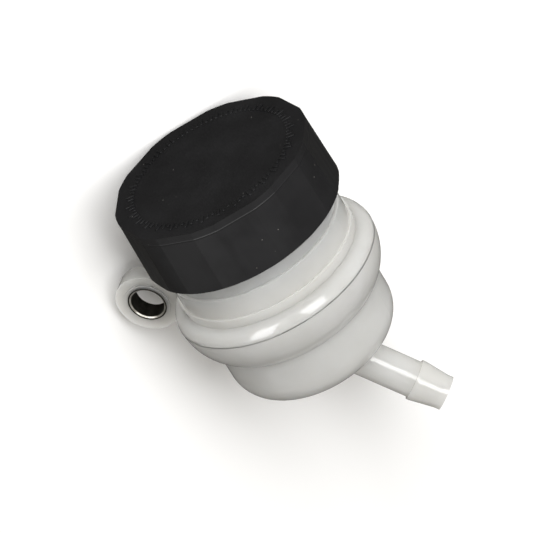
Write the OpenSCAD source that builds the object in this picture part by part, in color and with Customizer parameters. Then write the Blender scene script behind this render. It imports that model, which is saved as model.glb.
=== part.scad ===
// Brake fluid reservoir with a screw cap, an eye for one bolt and an angled hose spigot.
// The origin is the middle of the bolt hole, +Z points up through the cap,
// and +X runs from the eye across the bottle towards the spigot.

/* [Bottle] */
// Diameter of the cup at the bottom
cup_d = 33.9; // [32:0.1:36]
// Rounding between the cup's floor and its side
cup_fillet = 6.2; // [3:0.1:7]
// Diameter of the belt around the middle
belt_d = 41.3; // [40:0.1:44]
// Height of the belt's middle above the floor
belt_z = 20.2; // [18:0.1:22]
// Height of the belt's upright side
belt_side = 0.2; // [0.1:0.1:2]
// Rounding under the belt, down to the cup
belt_low_fillet = 10.6; // [8:0.1:12]
// Rounding on top of the belt
belt_high_fillet = 2.7; // [2:0.1:3.4]
// Height of the step around the collar's foot, above the belt
foot_h = 1.9; // [1:0.1:2.4]
// Width of the step around the collar's foot
foot_w = 0.4; // [0.2:0.1:0.6]
// Rounding on the edges of the collar and its foot
collar_fillet = 0.35; // [0.1:0.05:0.4]
// Height of the collar's top above its foot
collar_h = 4.5; // [3:0.1:5.5]
// Width of the step from the collar to the neck
collar_w = 0.7; // [0.5:0.1:0.9]
// Height of the neck above the collar
neck_h = 12.5; // [12:0.1:15]
// Wall of the neck, at the root of its thread
neck_wall = 1.9; // [1.6:0.1:2.2]
// Wall of the bottle below its neck
wall = 1.6; // [1.2:0.1:1.8]

/* [Eye] */
// Distance from the belt to the middle of the bolt hole
eye_gap = 6.25; // [5.5:0.05:8]
// Height of the bolt hole above the floor
eye_z = 21.5; // [19:0.1:23]
// Outer diameter of the eye
eye_d = 12.6; // [12:0.1:15]
// Thickness of the eye between its lips
eye_t = 3.5; // [3:0.1:6]
// Height of the web that joins the eye to the belt
web_h = 5.6; // [4:0.1:7]
// Height of the lip around the bush, on each face
lip_h = 0.25; // [0.1:0.05:0.8]
// Width of the lip around the bush
lip_w = 0.7; // [0.4:0.1:1]
// Outer diameter of the steel bush
bush_d = 7.7; // [7.3:0.1:8.4]
// Bolt hole through the bush
bolt_hole_d = 6.5; // [6.2:0.1:6.8]
// Chamfer at the ends of the bolt hole
bush_chamfer = 0.25; // [0.1:0.05:0.35]

/* [Hose spigot] */
// Slope of the spigot below the horizontal
spigot_slope = 47.5; // [42:0.5:52]
// Height above the floor where the spigot's axis meets the bottle's axis
spigot_z = 4.3; // [3.5:0.1:5.5]
// Diameter of the plain pipe
pipe_d = 7.15; // [6.5:0.05:7.6]
// Diameter over the barb
barb_d = 8; // [7.8:0.1:8.6]
// Distance from the bottle's axis to the barb, along the pipe
barb_at = 20.8; // [18:0.1:24]
// Length of the barb's widest band
barb_band = 0.6; // [0.5:0.1:1]
// Length of the barb's cone, up to the rounded tip
barb_cone = 4.9; // [3:0.1:6]
// Diameter where the cone meets the rounded tip
tip_d = 6.7; // [6.4:0.1:7]
// Rounding of the tip
tip_fillet = 1.1; // [0.6:0.1:1.2]
// Bore of the spigot
spigot_bore = 4; // [3:0.1:4.2]

/* [Cap] */
// Diameter over the round parts of the skirt, at its open end
cap_d = 40.2; // [40:0.1:44]
// Height of the cap
cap_h = 13.4; // [12.8:0.1:14.6]
// Lean of the skirt towards the top
cap_draft = 1.7; // [0:0.1:2]
// Rounding around the top
cap_edge = 1.4; // [0.6:0.1:1.8]
// Thickness of the cap's top
cap_top = 1.9; // [1.6:0.1:2.4]
// Wall of the skirt at its open end, at the root of its thread
skirt_wall = 2.15; // [2:0.05:2.4]
// Gap between the neck and the skirt, at the roots of their threads
thread_gap = 0.95; // [0.8:0.05:1.1]
// Number of grip flats around the skirt
grip_flats = 10; // [6:1:14]
// Depth of a grip flat
grip_depth = 0.35; // [0.1:0.05:0.5]
// Turn of the first grip flat away from +X, in degrees
grip_turn = 12; // [0:1:36]
// Chamfer around the skirt's open end
cap_chamfer = 0.3; // [0.1:0.1:0.5]

/* [Seal] */
// Gap between the seal's edge and the skirt
seal_gap = 0.6; // [0.3:0.1:0.8]
// Thickness of the diaphragm's flange
flange_t = 1.6; // [1.2:0.1:2]
// Thickness of the rubber in the folds
rubber_t = 0.9; // [0.6:0.1:1.1]
// Depth of the diaphragm below its flange
bellows_depth = 9.6; // [8:0.1:11]
// Number of folds
bellows_folds = 3; // [2:1:3]
// Depth of a fold
fold_depth = 2.4; // [1.5:0.1:2.6]
// Gap between the diaphragm and the mouth
bellows_gap = 0.6; // [0.4:0.1:1]
// Thickness of the plate over the diaphragm
plate_t = 1.2; // [1:0.1:1.6]
// Gap between the plate's sunk middle and the diaphragm's folds
well_gap = 1.7; // [1.5:0.1:3]
// Depth of the plate's sunk middle
plate_well = 1.6; // [1:0.1:2]
// Diameter of a vent hole in the plate
vent_d = 2; // [1.5:0.1:2.5]
// Number of vent holes
vents = 4; // [3:1:6]
// Running gap between the plate and the cap
cap_gap = 0.1; // [0.05:0.05:0.3]

/* [Hidden] */
$fn = 96;
fold_steps = 8;
cup_r = cup_d / 2;
belt_r = belt_d / 2;
belt_low = belt_z - belt_side / 2;
belt_high = belt_z + belt_side / 2;
cap_r = cap_d / 2;
cap_bore_r = cap_r - skirt_wall;
neck_r = cap_bore_r - thread_gap;
mouth_r = neck_r - neck_wall;
collar_r = neck_r + collar_w;
foot_r = collar_r + foot_w;
foot_z = belt_high + belt_high_fillet + foot_h;
collar_z = foot_z + collar_h;
mouth_z = collar_z + neck_h;
eye_reach = belt_r + eye_gap;
bush_len = eye_t + 2 * lip_h;
cap_z = mouth_z + flange_t + plate_t + cap_gap + cap_top - cap_h;
cap_rim_r = cap_r - (cap_h - cap_edge) * tan(cap_draft);
seal_r = cap_bore_r - seal_gap;
plate_z = mouth_z + flange_t;
bellows_r = mouth_r - bellows_gap;
well_r = bellows_r - fold_depth - rubber_t - well_gap;
barb_end = barb_at + barb_band + barb_cone;
past = 1;

// Half outline of a round body whose outer corners are rounded
module round_profile(r, low, high, low_fillet, high_fillet) {
    translate([0, low + low_fillet]) square([r, high - low - low_fillet - high_fillet]);
    translate([0, low]) square([r - low_fillet, high - low]);
    if (high_fillet > 0) {
        translate([0, high - high_fillet]) square([r - high_fillet, high_fillet]);
        intersection() {
            translate([r - high_fillet, high - high_fillet]) circle(high_fillet);
            translate([0, high - high_fillet]) square([r, high_fillet]);
        }
    }
    if (low_fillet > 0) intersection() {
        translate([r - low_fillet, low + low_fillet]) circle(low_fillet);
        translate([0, low]) square([r, low_fillet]);
    }
}

// Places what is drawn about the bottle's own axis, with the floor at height 0
module on_bottle() {
    translate([eye_reach, 0, -eye_z]) children();
}

// Places what is drawn along +Z on the spigot's axis, outwards from the bottle's axis
module on_spigot() {
    on_bottle() translate([0, 0, spigot_z]) rotate([0, 90 + spigot_slope, 0]) children();
}

// Outside of the bottle: cup, belt, collar and neck
module bottle_outside() {
    round_profile(cup_r, 0, belt_z, cup_fillet, 0);
    round_profile(belt_r, belt_low - belt_low_fillet, belt_high + belt_high_fillet,
        belt_low_fillet, belt_high_fillet);
    round_profile(foot_r, belt_z, foot_z, 0, collar_fillet);
    round_profile(collar_r, belt_z, collar_z, 0, collar_fillet);
    translate([0, belt_z]) square([neck_r, mouth_z - belt_z]);
}

// Inside of the bottle, one wall in from the outside
module bottle_inside() {
    round_profile(cup_r - wall, wall, belt_z, cup_fillet - wall, 0);
    round_profile(belt_r - wall, belt_low - belt_low_fillet + wall,
        belt_high + belt_high_fillet - wall, belt_low_fillet - wall, belt_high_fillet - wall);
    translate([0, belt_z]) square([mouth_r, mouth_z - belt_z + past]);
}

// Pipe, barb and rounded tip of the hose spigot, drawn along +Z
module spigot_outside() {
    cylinder(d = pipe_d, h = barb_at);
    translate([0, 0, barb_at]) cylinder(d = barb_d, h = barb_band);
    translate([0, 0, barb_at + barb_band]) cylinder(d1 = barb_d, d2 = tip_d, h = barb_cone);
    rotate_extrude() round_profile(tip_d / 2, barb_end - tip_fillet, barb_end + tip_fillet,
        0, tip_fillet);
}

module bottle() {
    color([0.78, 0.77, 0.74]) difference() {
        union() {
            on_bottle() rotate_extrude() bottle_outside();
            on_spigot() spigot_outside();
        }
        on_bottle() rotate_extrude() bottle_inside();
        on_spigot() cylinder(d = spigot_bore, h = barb_end + tip_fillet + past);
    }
}

// The bottle's eye: a ring with a lip on each face, and the web to the belt
module bottle_eye() {
    color([0.78, 0.77, 0.74]) difference() {
        rotate([90, 0, 0]) difference() {
            union() {
                translate([0, 0, -eye_t / 2]) cylinder(d = eye_d, h = eye_t);
                translate([0, 0, -bush_len / 2]) cylinder(d = bush_d + 2 * lip_w, h = bush_len);
                translate([0, -web_h / 2, -eye_t / 2]) cube([eye_reach - foot_r + past, web_h, eye_t]);
            }
            translate([0, 0, -bush_len / 2 - past]) cylinder(d = bush_d, h = bush_len + 2 * past);
        }
        on_bottle() rotate_extrude() bottle_outside();
    }
}

module eye_bush() {
    color([0.62, 0.61, 0.58]) rotate([90, 0, 0]) translate([0, 0, -bush_len / 2]) difference() {
        cylinder(d = bush_d, h = bush_len);
        translate([0, 0, -past]) cylinder(d = bolt_hole_d, h = bush_len + 2 * past);
        cylinder(d1 = bolt_hole_d + 2 * bush_chamfer, d2 = bolt_hole_d, h = bush_chamfer);
        translate([0, 0, bush_len - bush_chamfer])
            cylinder(d1 = bolt_hole_d, d2 = bolt_hole_d + 2 * bush_chamfer, h = bush_chamfer);
    }
}

// Radius of the folded wall, from its top at 0 to its bottom at 1
function fold_r(s) = bellows_r - fold_depth / 2 * (1 - cos(360 * bellows_folds * s));

module diaphragm() {
    steps = fold_steps * bellows_folds;
    outer = [for (i = [0 : steps]) [fold_r(i / steps), -bellows_depth * i / steps]];
    inner = [for (i = [steps : -1 : 0])
        [fold_r(i / steps) - rubber_t, max(-bellows_depth * i / steps, -bellows_depth + rubber_t)]];
    color([0.1, 0.1, 0.1]) on_bottle() translate([0, 0, mouth_z]) {
        rotate_extrude() polygon(concat([[0, -bellows_depth]], [for (i = [steps : -1 : 0]) outer[i]],
            [[seal_r, 0], [seal_r, flange_t], [bellows_r - rubber_t, flange_t]],
            [for (i = [steps : -1 : 0]) inner[i]], [[0, -bellows_depth + rubber_t]]));
    }
}

module diaphragm_plate() {
    color([0.85, 0.85, 0.83]) on_bottle() translate([0, 0, plate_z]) difference() {
        rotate_extrude() polygon([[0, -plate_well], [well_r, -plate_well], [well_r + plate_well, 0],
            [seal_r, 0], [seal_r, plate_t], [well_r + plate_well - plate_t / 2, plate_t],
            [well_r - plate_t / 2, plate_t - plate_well], [0, plate_t - plate_well]]);
        for (i = [0 : vents - 1]) rotate([0, 0, i * 360 / vents])
            translate([well_r / 2, 0, -plate_well - past]) cylinder(d = vent_d, h = plate_t + 2 * past);
    }
}

module cap() {
    color([0.13, 0.13, 0.14]) on_bottle() translate([0, 0, cap_z]) difference() {
        rotate_extrude() {
            polygon([[0, 0], [cap_r - cap_chamfer, 0], [cap_r, cap_chamfer],
                [cap_rim_r, cap_h - cap_edge], [0, cap_h - cap_edge]]);
            round_profile(cap_rim_r, cap_h - 2 * cap_edge, cap_h, 0, cap_edge);
        }
        for (i = [0 : grip_flats - 1]) rotate([0, 0, grip_turn + i * 360 / grip_flats])
            translate([cap_r - grip_depth, 0, 0]) rotate([0, -cap_draft, 0])
                translate([0, -cap_r, -past]) cube([cap_r, cap_d, cap_h + 2 * past]);
        translate([0, 0, -past]) cylinder(r = cap_bore_r, h = cap_h - cap_top + past);
    }
}

bottle();
bottle_eye();
eye_bush();
diaphragm();
diaphragm_plate();
cap();
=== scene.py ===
import math

import bpy
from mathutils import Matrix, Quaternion, Vector


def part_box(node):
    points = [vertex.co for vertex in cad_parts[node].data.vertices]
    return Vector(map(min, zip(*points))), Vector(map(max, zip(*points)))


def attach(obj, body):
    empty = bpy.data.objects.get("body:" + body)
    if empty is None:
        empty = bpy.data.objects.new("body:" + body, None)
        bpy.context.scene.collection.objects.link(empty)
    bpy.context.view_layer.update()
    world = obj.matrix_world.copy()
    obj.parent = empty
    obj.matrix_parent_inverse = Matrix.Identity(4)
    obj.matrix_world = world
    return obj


# Brake fluid reservoir: a milky bottle with a black screw cap, an eye for one bolt and a hose spigot.
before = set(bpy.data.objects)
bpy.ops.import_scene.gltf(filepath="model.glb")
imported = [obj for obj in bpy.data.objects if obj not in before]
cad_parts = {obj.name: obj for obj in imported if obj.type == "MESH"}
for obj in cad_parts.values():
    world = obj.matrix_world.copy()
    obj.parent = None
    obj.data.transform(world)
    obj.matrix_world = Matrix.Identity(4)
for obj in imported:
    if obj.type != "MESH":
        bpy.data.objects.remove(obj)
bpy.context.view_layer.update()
MM = 0.001


# Bottle
# Two mouldings in natural polypropylene, welded together around the belt.
# The milky wall lets light sink in, and the skin keeps the gloss of a polished mould.
def linear(hex_colour):
    """Linear RGBA from an sRGB hex value such as C8C7C2."""
    parts = [int(hex_colour[i:i + 2], 16) / 255 for i in (0, 2, 4)]
    return [p / 12.92 if p <= 0.04045 else ((p + 0.055) / 1.055) ** 2.4 for p in parts] + [1.0]


def add_node(tree, kind, values=None, links=None, **settings):
    """Adds a node, sets its settings and socket values, and links other nodes' outputs to it."""
    node = tree.nodes.new(kind)
    for key, value in settings.items():
        setattr(node, key, value)
    for key, value in (values or {}).items():
        node.inputs[key].default_value = value
    for key, source in (links or {}).items():
        tree.links.new(source, node.inputs[key])
    return node


def add_ramp(tree, factor, stops):
    """Adds a colour ramp with stops of a position and a linear colour."""
    node = add_node(tree, "ShaderNodeValToRGB", links={"Fac": factor})
    elements = node.color_ramp.elements
    elements[0].position, elements[0].color = stops[0]
    elements[1].position, elements[1].color = stops[-1]
    for position, colour in stops[1:-1]:
        elements.new(position).color = colour
    return node


def add_noise(tree, size_mm, detail, place):
    """Adds a noise texture whose patches are about size_mm across."""
    return add_node(tree, "ShaderNodeTexNoise",
                    values={"Scale": 1 / (size_mm * MM), "Detail": detail},
                    links={"Vector": place.outputs["Object"]})


def new_material(name):
    """An empty node material, its tree and its place on the object."""
    material = bpy.data.materials.new(name)
    material.use_nodes = True
    tree = material.node_tree
    tree.nodes.clear()
    return material, tree, add_node(tree, "ShaderNodeTexCoord")


def show(tree, shader):
    """Joins a shader to the material's output."""
    add_node(tree, "ShaderNodeOutputMaterial", links={"Surface": shader.outputs[0]})


def dress(node_name, material):
    """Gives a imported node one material."""
    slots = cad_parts[node_name].data.materials
    slots.clear()
    slots.append(material)


cap_low, cap_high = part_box("cap")
AXIS_X = (cap_low.x + cap_high.x) / 2
MOUTH_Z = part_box("bottle")[1].z
FLOOR_Z = MOUTH_Z - 41.9 * MM
FOOT_Z = FLOOR_Z + 24.9 * MM

natural_pp, tree, place = new_material("natural_polypropylene_injection_moulded")
flow = add_noise(tree, 11, 3.0, place)
grain = add_noise(tree, 0.4, 2.0, place)
swell = add_noise(tree, 7, 1.0, place)
height = add_node(tree, "ShaderNodeSeparateXYZ", links={"Vector": place.outputs["Object"]})
# painted shade: the neck's colour is darker towards the cap, for the shade of the black seal and cap
# inside it
painted_neck_shade = add_node(tree, "ShaderNodeMapRange", interpolation_type="SMOOTHSTEP",
                   values={"From Min": FOOT_Z - 1.5 * MM, "From Max": FOOT_Z + 6 * MM},
                   links={"Value": height.outputs["Z"]})
body_tint = add_ramp(tree, flow.outputs["Fac"], [(0.3, linear("CAC9C4")), (0.7, linear("D2D1CD"))])
neck_shaded_tint = add_ramp(tree, flow.outputs["Fac"], [(0.3, linear("B3B4B3")), (0.7, linear("BCBDBC"))])
tint = add_node(tree, "ShaderNodeMixRGB", links={"Fac": painted_neck_shade.outputs["Result"],
                                                 "Color1": body_tint.outputs["Color"],
                                                 "Color2": neck_shaded_tint.outputs["Color"]})
gloss = add_node(tree, "ShaderNodeMapRange",
                 values={"From Min": 0.3, "From Max": 0.7, "To Min": 0.03, "To Max": 0.07},
                 links={"Value": flow.outputs["Fac"]})
waves = add_node(tree, "ShaderNodeBump", values={"Strength": 0.2, "Distance": 0.05 * MM},
                 links={"Height": swell.outputs["Fac"]})
skin = add_node(tree, "ShaderNodeBump", values={"Strength": 0.05, "Distance": 0.02 * MM},
                links={"Height": grain.outputs["Fac"], "Normal": waves.outputs["Normal"]})
shader = add_node(tree, "ShaderNodeBsdfPrincipled",
                  values={"IOR": 1.49, "Subsurface Weight": 1.0, "Subsurface Scale": 9.0 * MM,
                          "Subsurface Radius": (1.0, 0.97, 0.92)},
                  links={"Base Color": tint.outputs["Color"], "Roughness": gloss.outputs["Result"],
                         "Normal": skin.outputs["Normal"]})
show(tree, shader)
dress("bottle", natural_pp)
dress("bottle_eye", natural_pp)


# Belt weld
# The fine bead that the hot-plate weld leaves where the bottle's two halves meet.
# It runs around the belt where that is widest.
def start_mesh():
    """Leaves nothing selected, ready for the next primitive."""
    bpy.ops.object.select_all(action="DESELECT")


def settle(name, material):
    """Names the new piece, puts its place in its mesh, smooths it and gives it its material."""
    piece = bpy.context.active_object
    piece.name = name
    bpy.ops.object.transform_apply(location=True, rotation=True, scale=True)
    bpy.ops.object.shade_smooth_by_angle(angle=math.radians(35))
    piece.data.materials.append(material)
    return piece


WELD_Z = FLOOR_Z + 20.4 * MM
WELD_R, BEAD_R = 20.56 * MM, 0.13 * MM

start_mesh()
bpy.ops.mesh.primitive_torus_add(location=(AXIS_X, 0, WELD_Z), major_radius=WELD_R,
                                 minor_radius=BEAD_R, major_segments=192, minor_segments=16)
belt_weld = settle("belt_weld", natural_pp)
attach(belt_weld, "bottle_body")


# Neck thread
# The two turns of right-hand thread that the cap runs on, moulded with the neck.
# The pitch is 3 mm, and the crest clears the inside of the skirt.
PITCH, TURNS = 3 * MM, 2
DEPTH, FOOT, CREST = 0.65 * MM, 1.4 * MM, 0.5 * MM
SUNK = 0.1 * MM
STEPS_PER_TURN = 72
THREAD_Z = MOUTH_Z - 7.6 * MM
NECK_R = 17 * MM


def helix_ridge(name, material, root_r, depth, start_z):
    """A screw ridge that stands depth out from root_r, or inwards if depth is negative."""
    start_mesh()
    bpy.ops.mesh.primitive_plane_add(size=1)
    ridge = bpy.context.active_object
    sunk = math.copysign(SUNK, -depth)
    section = [(sunk, -FOOT / 2), (depth, -CREST / 2), (sunk, FOOT / 2), (depth, CREST / 2)]
    for vertex, (out, rise) in zip(ridge.data.vertices, section):
        vertex.co = (root_r + out, 0, rise)
    screw = ridge.modifiers.new("pitch", "SCREW")
    screw.angle = TURNS * 2 * math.pi
    screw.screw_offset = TURNS * PITCH
    screw.steps = screw.render_steps = TURNS * STEPS_PER_TURN
    bpy.ops.object.modifier_apply(modifier=screw.name)
    bpy.ops.object.mode_set(mode="EDIT")
    bpy.ops.mesh.select_all(action="SELECT")
    bpy.ops.mesh.remove_doubles(threshold=0.001 * MM)
    bpy.ops.mesh.fill_holes(sides=4)
    bpy.ops.mesh.normals_make_consistent(inside=False)
    bpy.ops.object.mode_set(mode="OBJECT")
    ridge.location = (AXIS_X, 0, start_z)
    return settle(name, material)


neck_thread = helix_ridge("neck_thread", natural_pp, NECK_R, DEPTH, THREAD_Z)
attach(neck_thread, "bottle_body")


# Eye bush
# A short steel sleeve in the eye, so that the bolt can't crush the plastic.
# Zinc plated, with painted light on its ends: painted shade in the bore, a painted highlight on the
# turned rim and painted shade where it meets the plastic.
bush_zinc, tree, place = new_material("steel_tube_zinc_plated")
mottle = add_noise(tree, 0.9, 4.0, place)
drawn = add_node(tree, "ShaderNodeMapping", values={"Scale": (1.0, 0.08, 1.0)},
                 links={"Vector": place.outputs["Object"]})
lines = add_node(tree, "ShaderNodeTexNoise", values={"Scale": 1 / (0.25 * MM), "Detail": 2.0},
                 links={"Vector": drawn.outputs["Vector"]})
flat = add_node(tree, "ShaderNodeVectorMath", operation="MULTIPLY",
                values={1: (1.0, 0.0, 1.0)}, links={0: place.outputs["Object"]})
radius = add_node(tree, "ShaderNodeVectorMath", operation="LENGTH", links={0: flat.outputs["Vector"]})
across_end = add_node(tree, "ShaderNodeMapRange",
                      values={"From Min": 3.2 * MM, "From Max": 3.9 * MM},
                      links={"Value": radius.outputs["Value"]})
# painted shade in the bore and where the bush meets the plastic, and a painted highlight on the rim
painted_bore_shade_and_rim_highlight = add_ramp(tree, across_end.outputs["Result"],
               [(0.0, linear("4A4843")), (0.1, linear("4A4843")), (0.16, linear("D2D0C9")),
                (0.42, linear("C6C4BD")), (0.55, linear("2E2C29")), (1.0, linear("55534E"))])
worn = add_ramp(tree, mottle.outputs["Fac"], [(0.3, linear("B4B2AC")), (0.7, linear("FFFFFF"))])
zinc = add_node(tree, "ShaderNodeMixRGB", blend_type="MULTIPLY", values={"Fac": 1.0},
                links={"Color1": painted_bore_shade_and_rim_highlight.outputs["Color"], "Color2": worn.outputs["Color"]})
dull = add_node(tree, "ShaderNodeMapRange", values={"To Min": 0.3, "To Max": 0.55},
                links={"Value": mottle.outputs["Fac"]})
marks = add_node(tree, "ShaderNodeBump", values={"Strength": 0.25, "Distance": 0.02 * MM},
                 links={"Height": lines.outputs["Fac"]})
shader = add_node(tree, "ShaderNodeBsdfPrincipled", values={"Metallic": 0.8},
                  links={"Base Color": zinc.outputs["Color"], "Roughness": dull.outputs["Result"],
                         "Normal": marks.outputs["Normal"]})
show(tree, shader)
dress("eye_bush", bush_zinc)


# Diaphragm
# A black rubber bellows that hangs in the mouth and keeps air and damp off the fluid.
# Moulded EPDM: matt, with a faint grey bloom.
epdm, tree, place = new_material("epdm_rubber_compression_moulded")
bloom = add_noise(tree, 2.5, 4.0, place)
pores = add_noise(tree, 0.2, 2.0, place)
soot = add_ramp(tree, bloom.outputs["Fac"], [(0.35, linear("1C1C1D")), (0.7, linear("2A2A2A"))])
matt = add_node(tree, "ShaderNodeMapRange", values={"To Min": 0.5, "To Max": 0.75},
                links={"Value": bloom.outputs["Fac"]})
rough = add_node(tree, "ShaderNodeBump", values={"Strength": 0.15, "Distance": 0.02 * MM},
                 links={"Height": pores.outputs["Fac"]})
shader = add_node(tree, "ShaderNodeBsdfPrincipled", values={"IOR": 1.52},
                  links={"Base Color": soot.outputs["Color"], "Roughness": matt.outputs["Result"],
                         "Normal": rough.outputs["Normal"]})
show(tree, shader)
dress("diaphragm", epdm)


# Diaphragm plate
# A loose plate that lets the cap slip round without dragging the rubber with it.
# The same natural polypropylene as the bottle, but thin and a little less glossy.
plate_pp, tree, place = new_material("natural_polypropylene_thin_plate")
flow = add_noise(tree, 8, 3.0, place)
tint = add_ramp(tree, flow.outputs["Fac"], [(0.3, linear("ABAAA5")), (0.7, linear("B4B3AF"))])
gloss = add_node(tree, "ShaderNodeMapRange", values={"To Min": 0.2, "To Max": 0.35},
                 links={"Value": flow.outputs["Fac"]})
shader = add_node(tree, "ShaderNodeBsdfPrincipled",
                  values={"IOR": 1.49, "Subsurface Weight": 0.8, "Subsurface Scale": 1.0 * MM,
                          "Subsurface Radius": (1.0, 0.97, 0.92)},
                  links={"Base Color": tint.outputs["Color"], "Roughness": gloss.outputs["Result"]})
show(tree, shader)
dress("diaphragm_plate", plate_pp)


# Cap
# A screw cap in black polypropylene with ten shallow grip flats.
# The mould is lightly spark-eroded, so the skin is satin, with a few pale specks of dust.
black_pp, tree, place = new_material("black_polypropylene_spark_eroded")
broad = add_noise(tree, 8, 3.0, place)
fine = add_noise(tree, 0.35, 3.0, place)
dust = add_node(tree, "ShaderNodeTexVoronoi", values={"Scale": 1 / (2.2 * MM), "Randomness": 1.0},
                links={"Vector": place.outputs["Object"]})
black = add_ramp(tree, broad.outputs["Fac"], [(0.3, linear("131315")), (0.7, linear("1A1A1C"))])
speck = add_ramp(tree, dust.outputs["Distance"], [(0.0, linear("FFFFFF")), (0.06, linear("000000"))])
rare = add_ramp(tree, dust.outputs["Color"], [(0.6, linear("000000")), (0.62, linear("FFFFFF"))])
chosen = add_node(tree, "ShaderNodeMath", operation="MULTIPLY",
                  links={0: speck.outputs["Color"], 1: rare.outputs["Color"]})
dusty = add_node(tree, "ShaderNodeMixRGB", values={"Color2": linear("8A8782")},
                 links={"Fac": chosen.outputs["Value"], "Color1": black.outputs["Color"]})
satin = add_node(tree, "ShaderNodeMapRange",
                 values={"From Min": 0.3, "From Max": 0.7, "To Min": 0.32, "To Max": 0.45},
                 links={"Value": broad.outputs["Fac"]})
upright = add_node(tree, "ShaderNodeMapping", values={"Scale": (1.0, 1.0, 0.08)},
                   links={"Vector": place.outputs["Object"]})
drag = add_node(tree, "ShaderNodeTexNoise", values={"Scale": 1 / (1.4 * MM), "Detail": 3.0},
                links={"Vector": upright.outputs["Vector"]})
dragged = add_node(tree, "ShaderNodeMath", operation="MULTIPLY_ADD", values={1: 0.2},
                   links={0: drag.outputs["Fac"], 2: satin.outputs["Result"]})
# the mould's parting leaves a fine line around the skirt, just under the rounded edge
height = add_node(tree, "ShaderNodeSeparateXYZ", links={"Vector": place.outputs["Object"]})
under_edge = add_node(tree, "ShaderNodeMapRange",
                      values={"From Min": cap_high.z - 1.75 * MM, "From Max": cap_high.z - 1.35 * MM},
                      links={"Value": height.outputs["Z"]})
line = add_ramp(tree, under_edge.outputs["Result"],
                [(0.0, linear("000000")), (0.5, linear("FFFFFF")), (1.0, linear("000000"))])
parting = add_node(tree, "ShaderNodeBump", values={"Strength": 1.0, "Distance": 0.08 * MM},
                   links={"Height": line.outputs["Color"]})
erode = add_node(tree, "ShaderNodeBump", values={"Strength": 0.2, "Distance": 0.02 * MM},
                 links={"Height": fine.outputs["Fac"], "Normal": parting.outputs["Normal"]})
shader = add_node(tree, "ShaderNodeBsdfPrincipled",
                  values={"IOR": 1.49, "Specular IOR Level": 0.3},
                  links={"Base Color": dusty.outputs["Color"],
                         "Roughness": dragged.outputs["Value"], "Normal": erode.outputs["Normal"]})
show(tree, shader)
dress("cap", black_pp)


# Cap thread
# The cap's own two turns of thread, inside the skirt.
# They stay half a pitch from the neck's turns, so the two never touch.
SKIRT_R = 17.95 * MM

cap_thread = helix_ridge("cap_thread", black_pp, SKIRT_R, -DEPTH, THREAD_Z + PITCH / 2)
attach(cap_thread, "cap_body")


# Cap tick ring
# A band of short raised bars around the cap's top, moulded with it.
# Three lengths take turns, all lined up on the band's inner edge.
BAND_R = 15.7 * MM
TICKS = 32
TICK_W, TICK_H, TICK_EDGE = 0.5 * MM, 0.3 * MM, 0.07 * MM
TICK_Z = cap_high.z + 0.05 * MM


def tick_ring(name, length, turn):
    """One bar of the given length, repeated around the cap's top."""
    start_mesh()
    bpy.ops.mesh.primitive_cube_add(size=1, location=(BAND_R + length / 2, 0, 0),
                                    scale=(length, TICK_W, TICK_H))
    bpy.ops.object.transform_apply(location=True, rotation=False, scale=True)
    bpy.ops.object.mode_set(mode="EDIT")
    bpy.ops.mesh.select_all(action="SELECT")
    bpy.ops.mesh.bevel(offset=TICK_EDGE, segments=2, affect="EDGES")
    bpy.ops.mesh.select_all(action="SELECT")
    bpy.ops.mesh.spin(steps=TICKS, dupli=True, angle=2 * math.pi, center=(0, 0, 0), axis=(0, 0, 1))
    bpy.ops.mesh.select_all(action="SELECT")
    bpy.ops.mesh.remove_doubles(threshold=0.001 * MM)
    bpy.ops.mesh.normals_make_consistent(inside=False)
    bpy.ops.object.mode_set(mode="OBJECT")
    ring = bpy.context.active_object
    ring.rotation_euler.z = math.radians(turn)
    ring.location = (AXIS_X, 0, TICK_Z)
    piece = settle(name, black_pp)
    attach(piece, "cap_body")


tick_ring("cap_ticks_long", 1.7 * MM, 0)
tick_ring("cap_ticks_middle", 1.2 * MM, 3.75)
tick_ring("cap_ticks_short", 0.7 * MM, 7.5)


# Sheet
# The reservoir lies on its back on a white sheet: on the cap's rim, the belt and the eye.
# It is clear from behind, so that it hides nothing from a camera on that side.
AZIMUTH, ELEVATION, ROLL = 33, 30.3, 31.7
across = Vector((math.cos(math.radians(AZIMUTH)), math.sin(math.radians(AZIMUTH)), 0))
toward = Vector((math.sin(math.radians(AZIMUTH)), -math.cos(math.radians(AZIMUTH)), 0))
up = Vector((0, 0, 1))
middle = Vector((AXIS_X, 0, FLOOR_Z + 23.3 * MM))
SHEET_SIZE = 6
LIE = 20.75 * MM

start_mesh()
bpy.ops.mesh.primitive_plane_add(size=SHEET_SIZE, location=middle - toward * LIE,
                                 rotation=toward.to_track_quat("Z", "Y").to_euler())
sheet = bpy.context.active_object
sheet.name = "white_sheet"
paper, tree, place = new_material("white_paper_matt")
fibre = add_noise(tree, 3, 2.0, place)
shade = add_ramp(tree, fibre.outputs["Fac"],
                 [(0.3, (0.86, 0.86, 0.855, 1)), (0.7, (0.88, 0.88, 0.875, 1))])
# the gloss of the plastics sees the sheet dimmer, so that the cap's top stays black
path = add_node(tree, "ShaderNodeLightPath")
dimmed = add_node(tree, "ShaderNodeMixRGB", values={"Color2": linear("585754")},
                  links={"Fac": path.outputs["Is Glossy Ray"], "Color1": shade.outputs["Color"]})
# the camera sees it at its whitest
bright = add_node(tree, "ShaderNodeMixRGB", values={"Color2": (1.0, 1.0, 1.0, 1)},
                  links={"Fac": path.outputs["Is Camera Ray"], "Color1": dimmed.outputs["Color"]})
diffuse = add_node(tree, "ShaderNodeBsdfDiffuse", links={"Color": bright.outputs["Color"]})
clear = add_node(tree, "ShaderNodeBsdfTransparent")
side = add_node(tree, "ShaderNodeNewGeometry")
one_sided = add_node(tree, "ShaderNodeMixShader", links={0: side.outputs["Backfacing"],
                                                         1: diffuse.outputs[0], 2: clear.outputs[0]})
show(tree, one_sided)
sheet.data.materials.append(paper)


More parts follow.
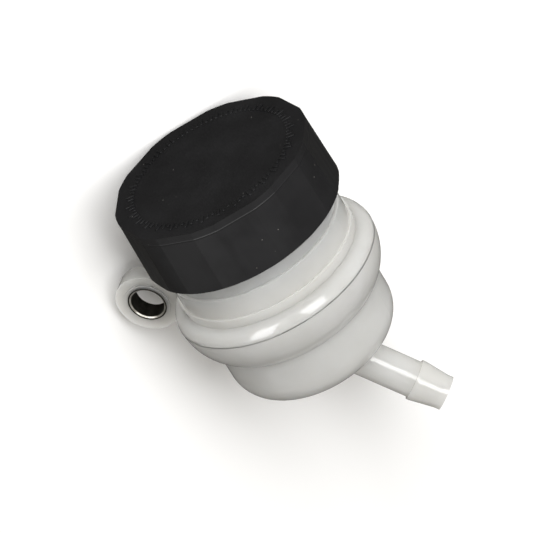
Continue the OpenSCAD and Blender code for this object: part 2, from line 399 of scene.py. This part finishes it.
# Light
# A key softbox from the upper right, in a pale room, throws the soft shadow to the lower left.
# Its twin from the upper left only shows in the gloss: each makes one bright patch on the belt.
BOX_AWAY, BOX_WIDTH, BOX_HEIGHT = 0.7, 0.28, 0.75


def softbox(name, direction, power):
    """A rectangular softbox that faces the reservoir from a direction."""
    lamp = bpy.data.lights.new(name, "AREA")
    lamp.shape = "RECTANGLE"
    lamp.size, lamp.size_y = BOX_WIDTH, BOX_HEIGHT
    lamp.energy = power
    box = bpy.data.objects.new(name, lamp)
    bpy.context.collection.objects.link(box)
    box.location = middle + direction.normalized() * BOX_AWAY
    box.rotation_euler = direction.to_track_quat("Z", "Y").to_euler()
    return box


softbox("softbox_key", 0.8144 * toward + 0.2542 * across + 0.5211 * up, 5.6)
twin = softbox("softbox_twin", 0.6374 * toward - 0.6074 * across + 0.4742 * up, 5.5)
twin.visible_diffuse = False

world = bpy.data.worlds.new("pale_room")
bpy.context.scene.world = world
world.use_nodes = True
tree = world.node_tree
tree.nodes.clear()
path = add_node(tree, "ShaderNodeLightPath")
room = add_node(tree, "ShaderNodeBackground", values={"Color": (1, 0.97, 0.92, 1), "Strength": 0.44})
white = add_node(tree, "ShaderNodeBackground", values={"Color": (1, 1, 1, 1), "Strength": 1.0})
seen = add_node(tree, "ShaderNodeMixShader", links={0: path.outputs["Is Camera Ray"],
                                                    1: room.outputs[0], 2: white.outputs[0]})
add_node(tree, "ShaderNodeOutputWorld", links={"Surface": seen.outputs[0]})


# Camera
# A long lens that looks down on the reservoir, rolled so that the cap points to the upper left.
DISTANCE = 0.75
FRAME = 533
PIXELS_PER_M = 5380
MIDDLE_PIXEL = (267.7, 260.9)
back = toward * math.cos(math.radians(ELEVATION)) + up * math.sin(math.radians(ELEVATION))
lens = bpy.data.cameras.new("camera")
lens.sensor_width = 36
lens.lens = lens.sensor_width * PIXELS_PER_M * DISTANCE / FRAME
lens.clip_start, lens.clip_end = 0.05, 20
camera = bpy.data.objects.new("camera", lens)
bpy.context.collection.objects.link(camera)
camera.rotation_mode = "QUATERNION"
camera.rotation_quaternion = (back.to_track_quat("Z", "Y")
                              @ Quaternion((0, 0, 1), -math.radians(ROLL)))
right = camera.rotation_quaternion @ Vector((1, 0, 0))
above = camera.rotation_quaternion @ Vector((0, 1, 0))
offset = right * (MIDDLE_PIXEL[0] - FRAME / 2) - above * (MIDDLE_PIXEL[1] - FRAME / 2)
camera.location = middle + back * DISTANCE - offset / PIXELS_PER_M
bpy.context.scene.camera = camera
bpy.context.scene.view_settings.view_transform = "Standard"
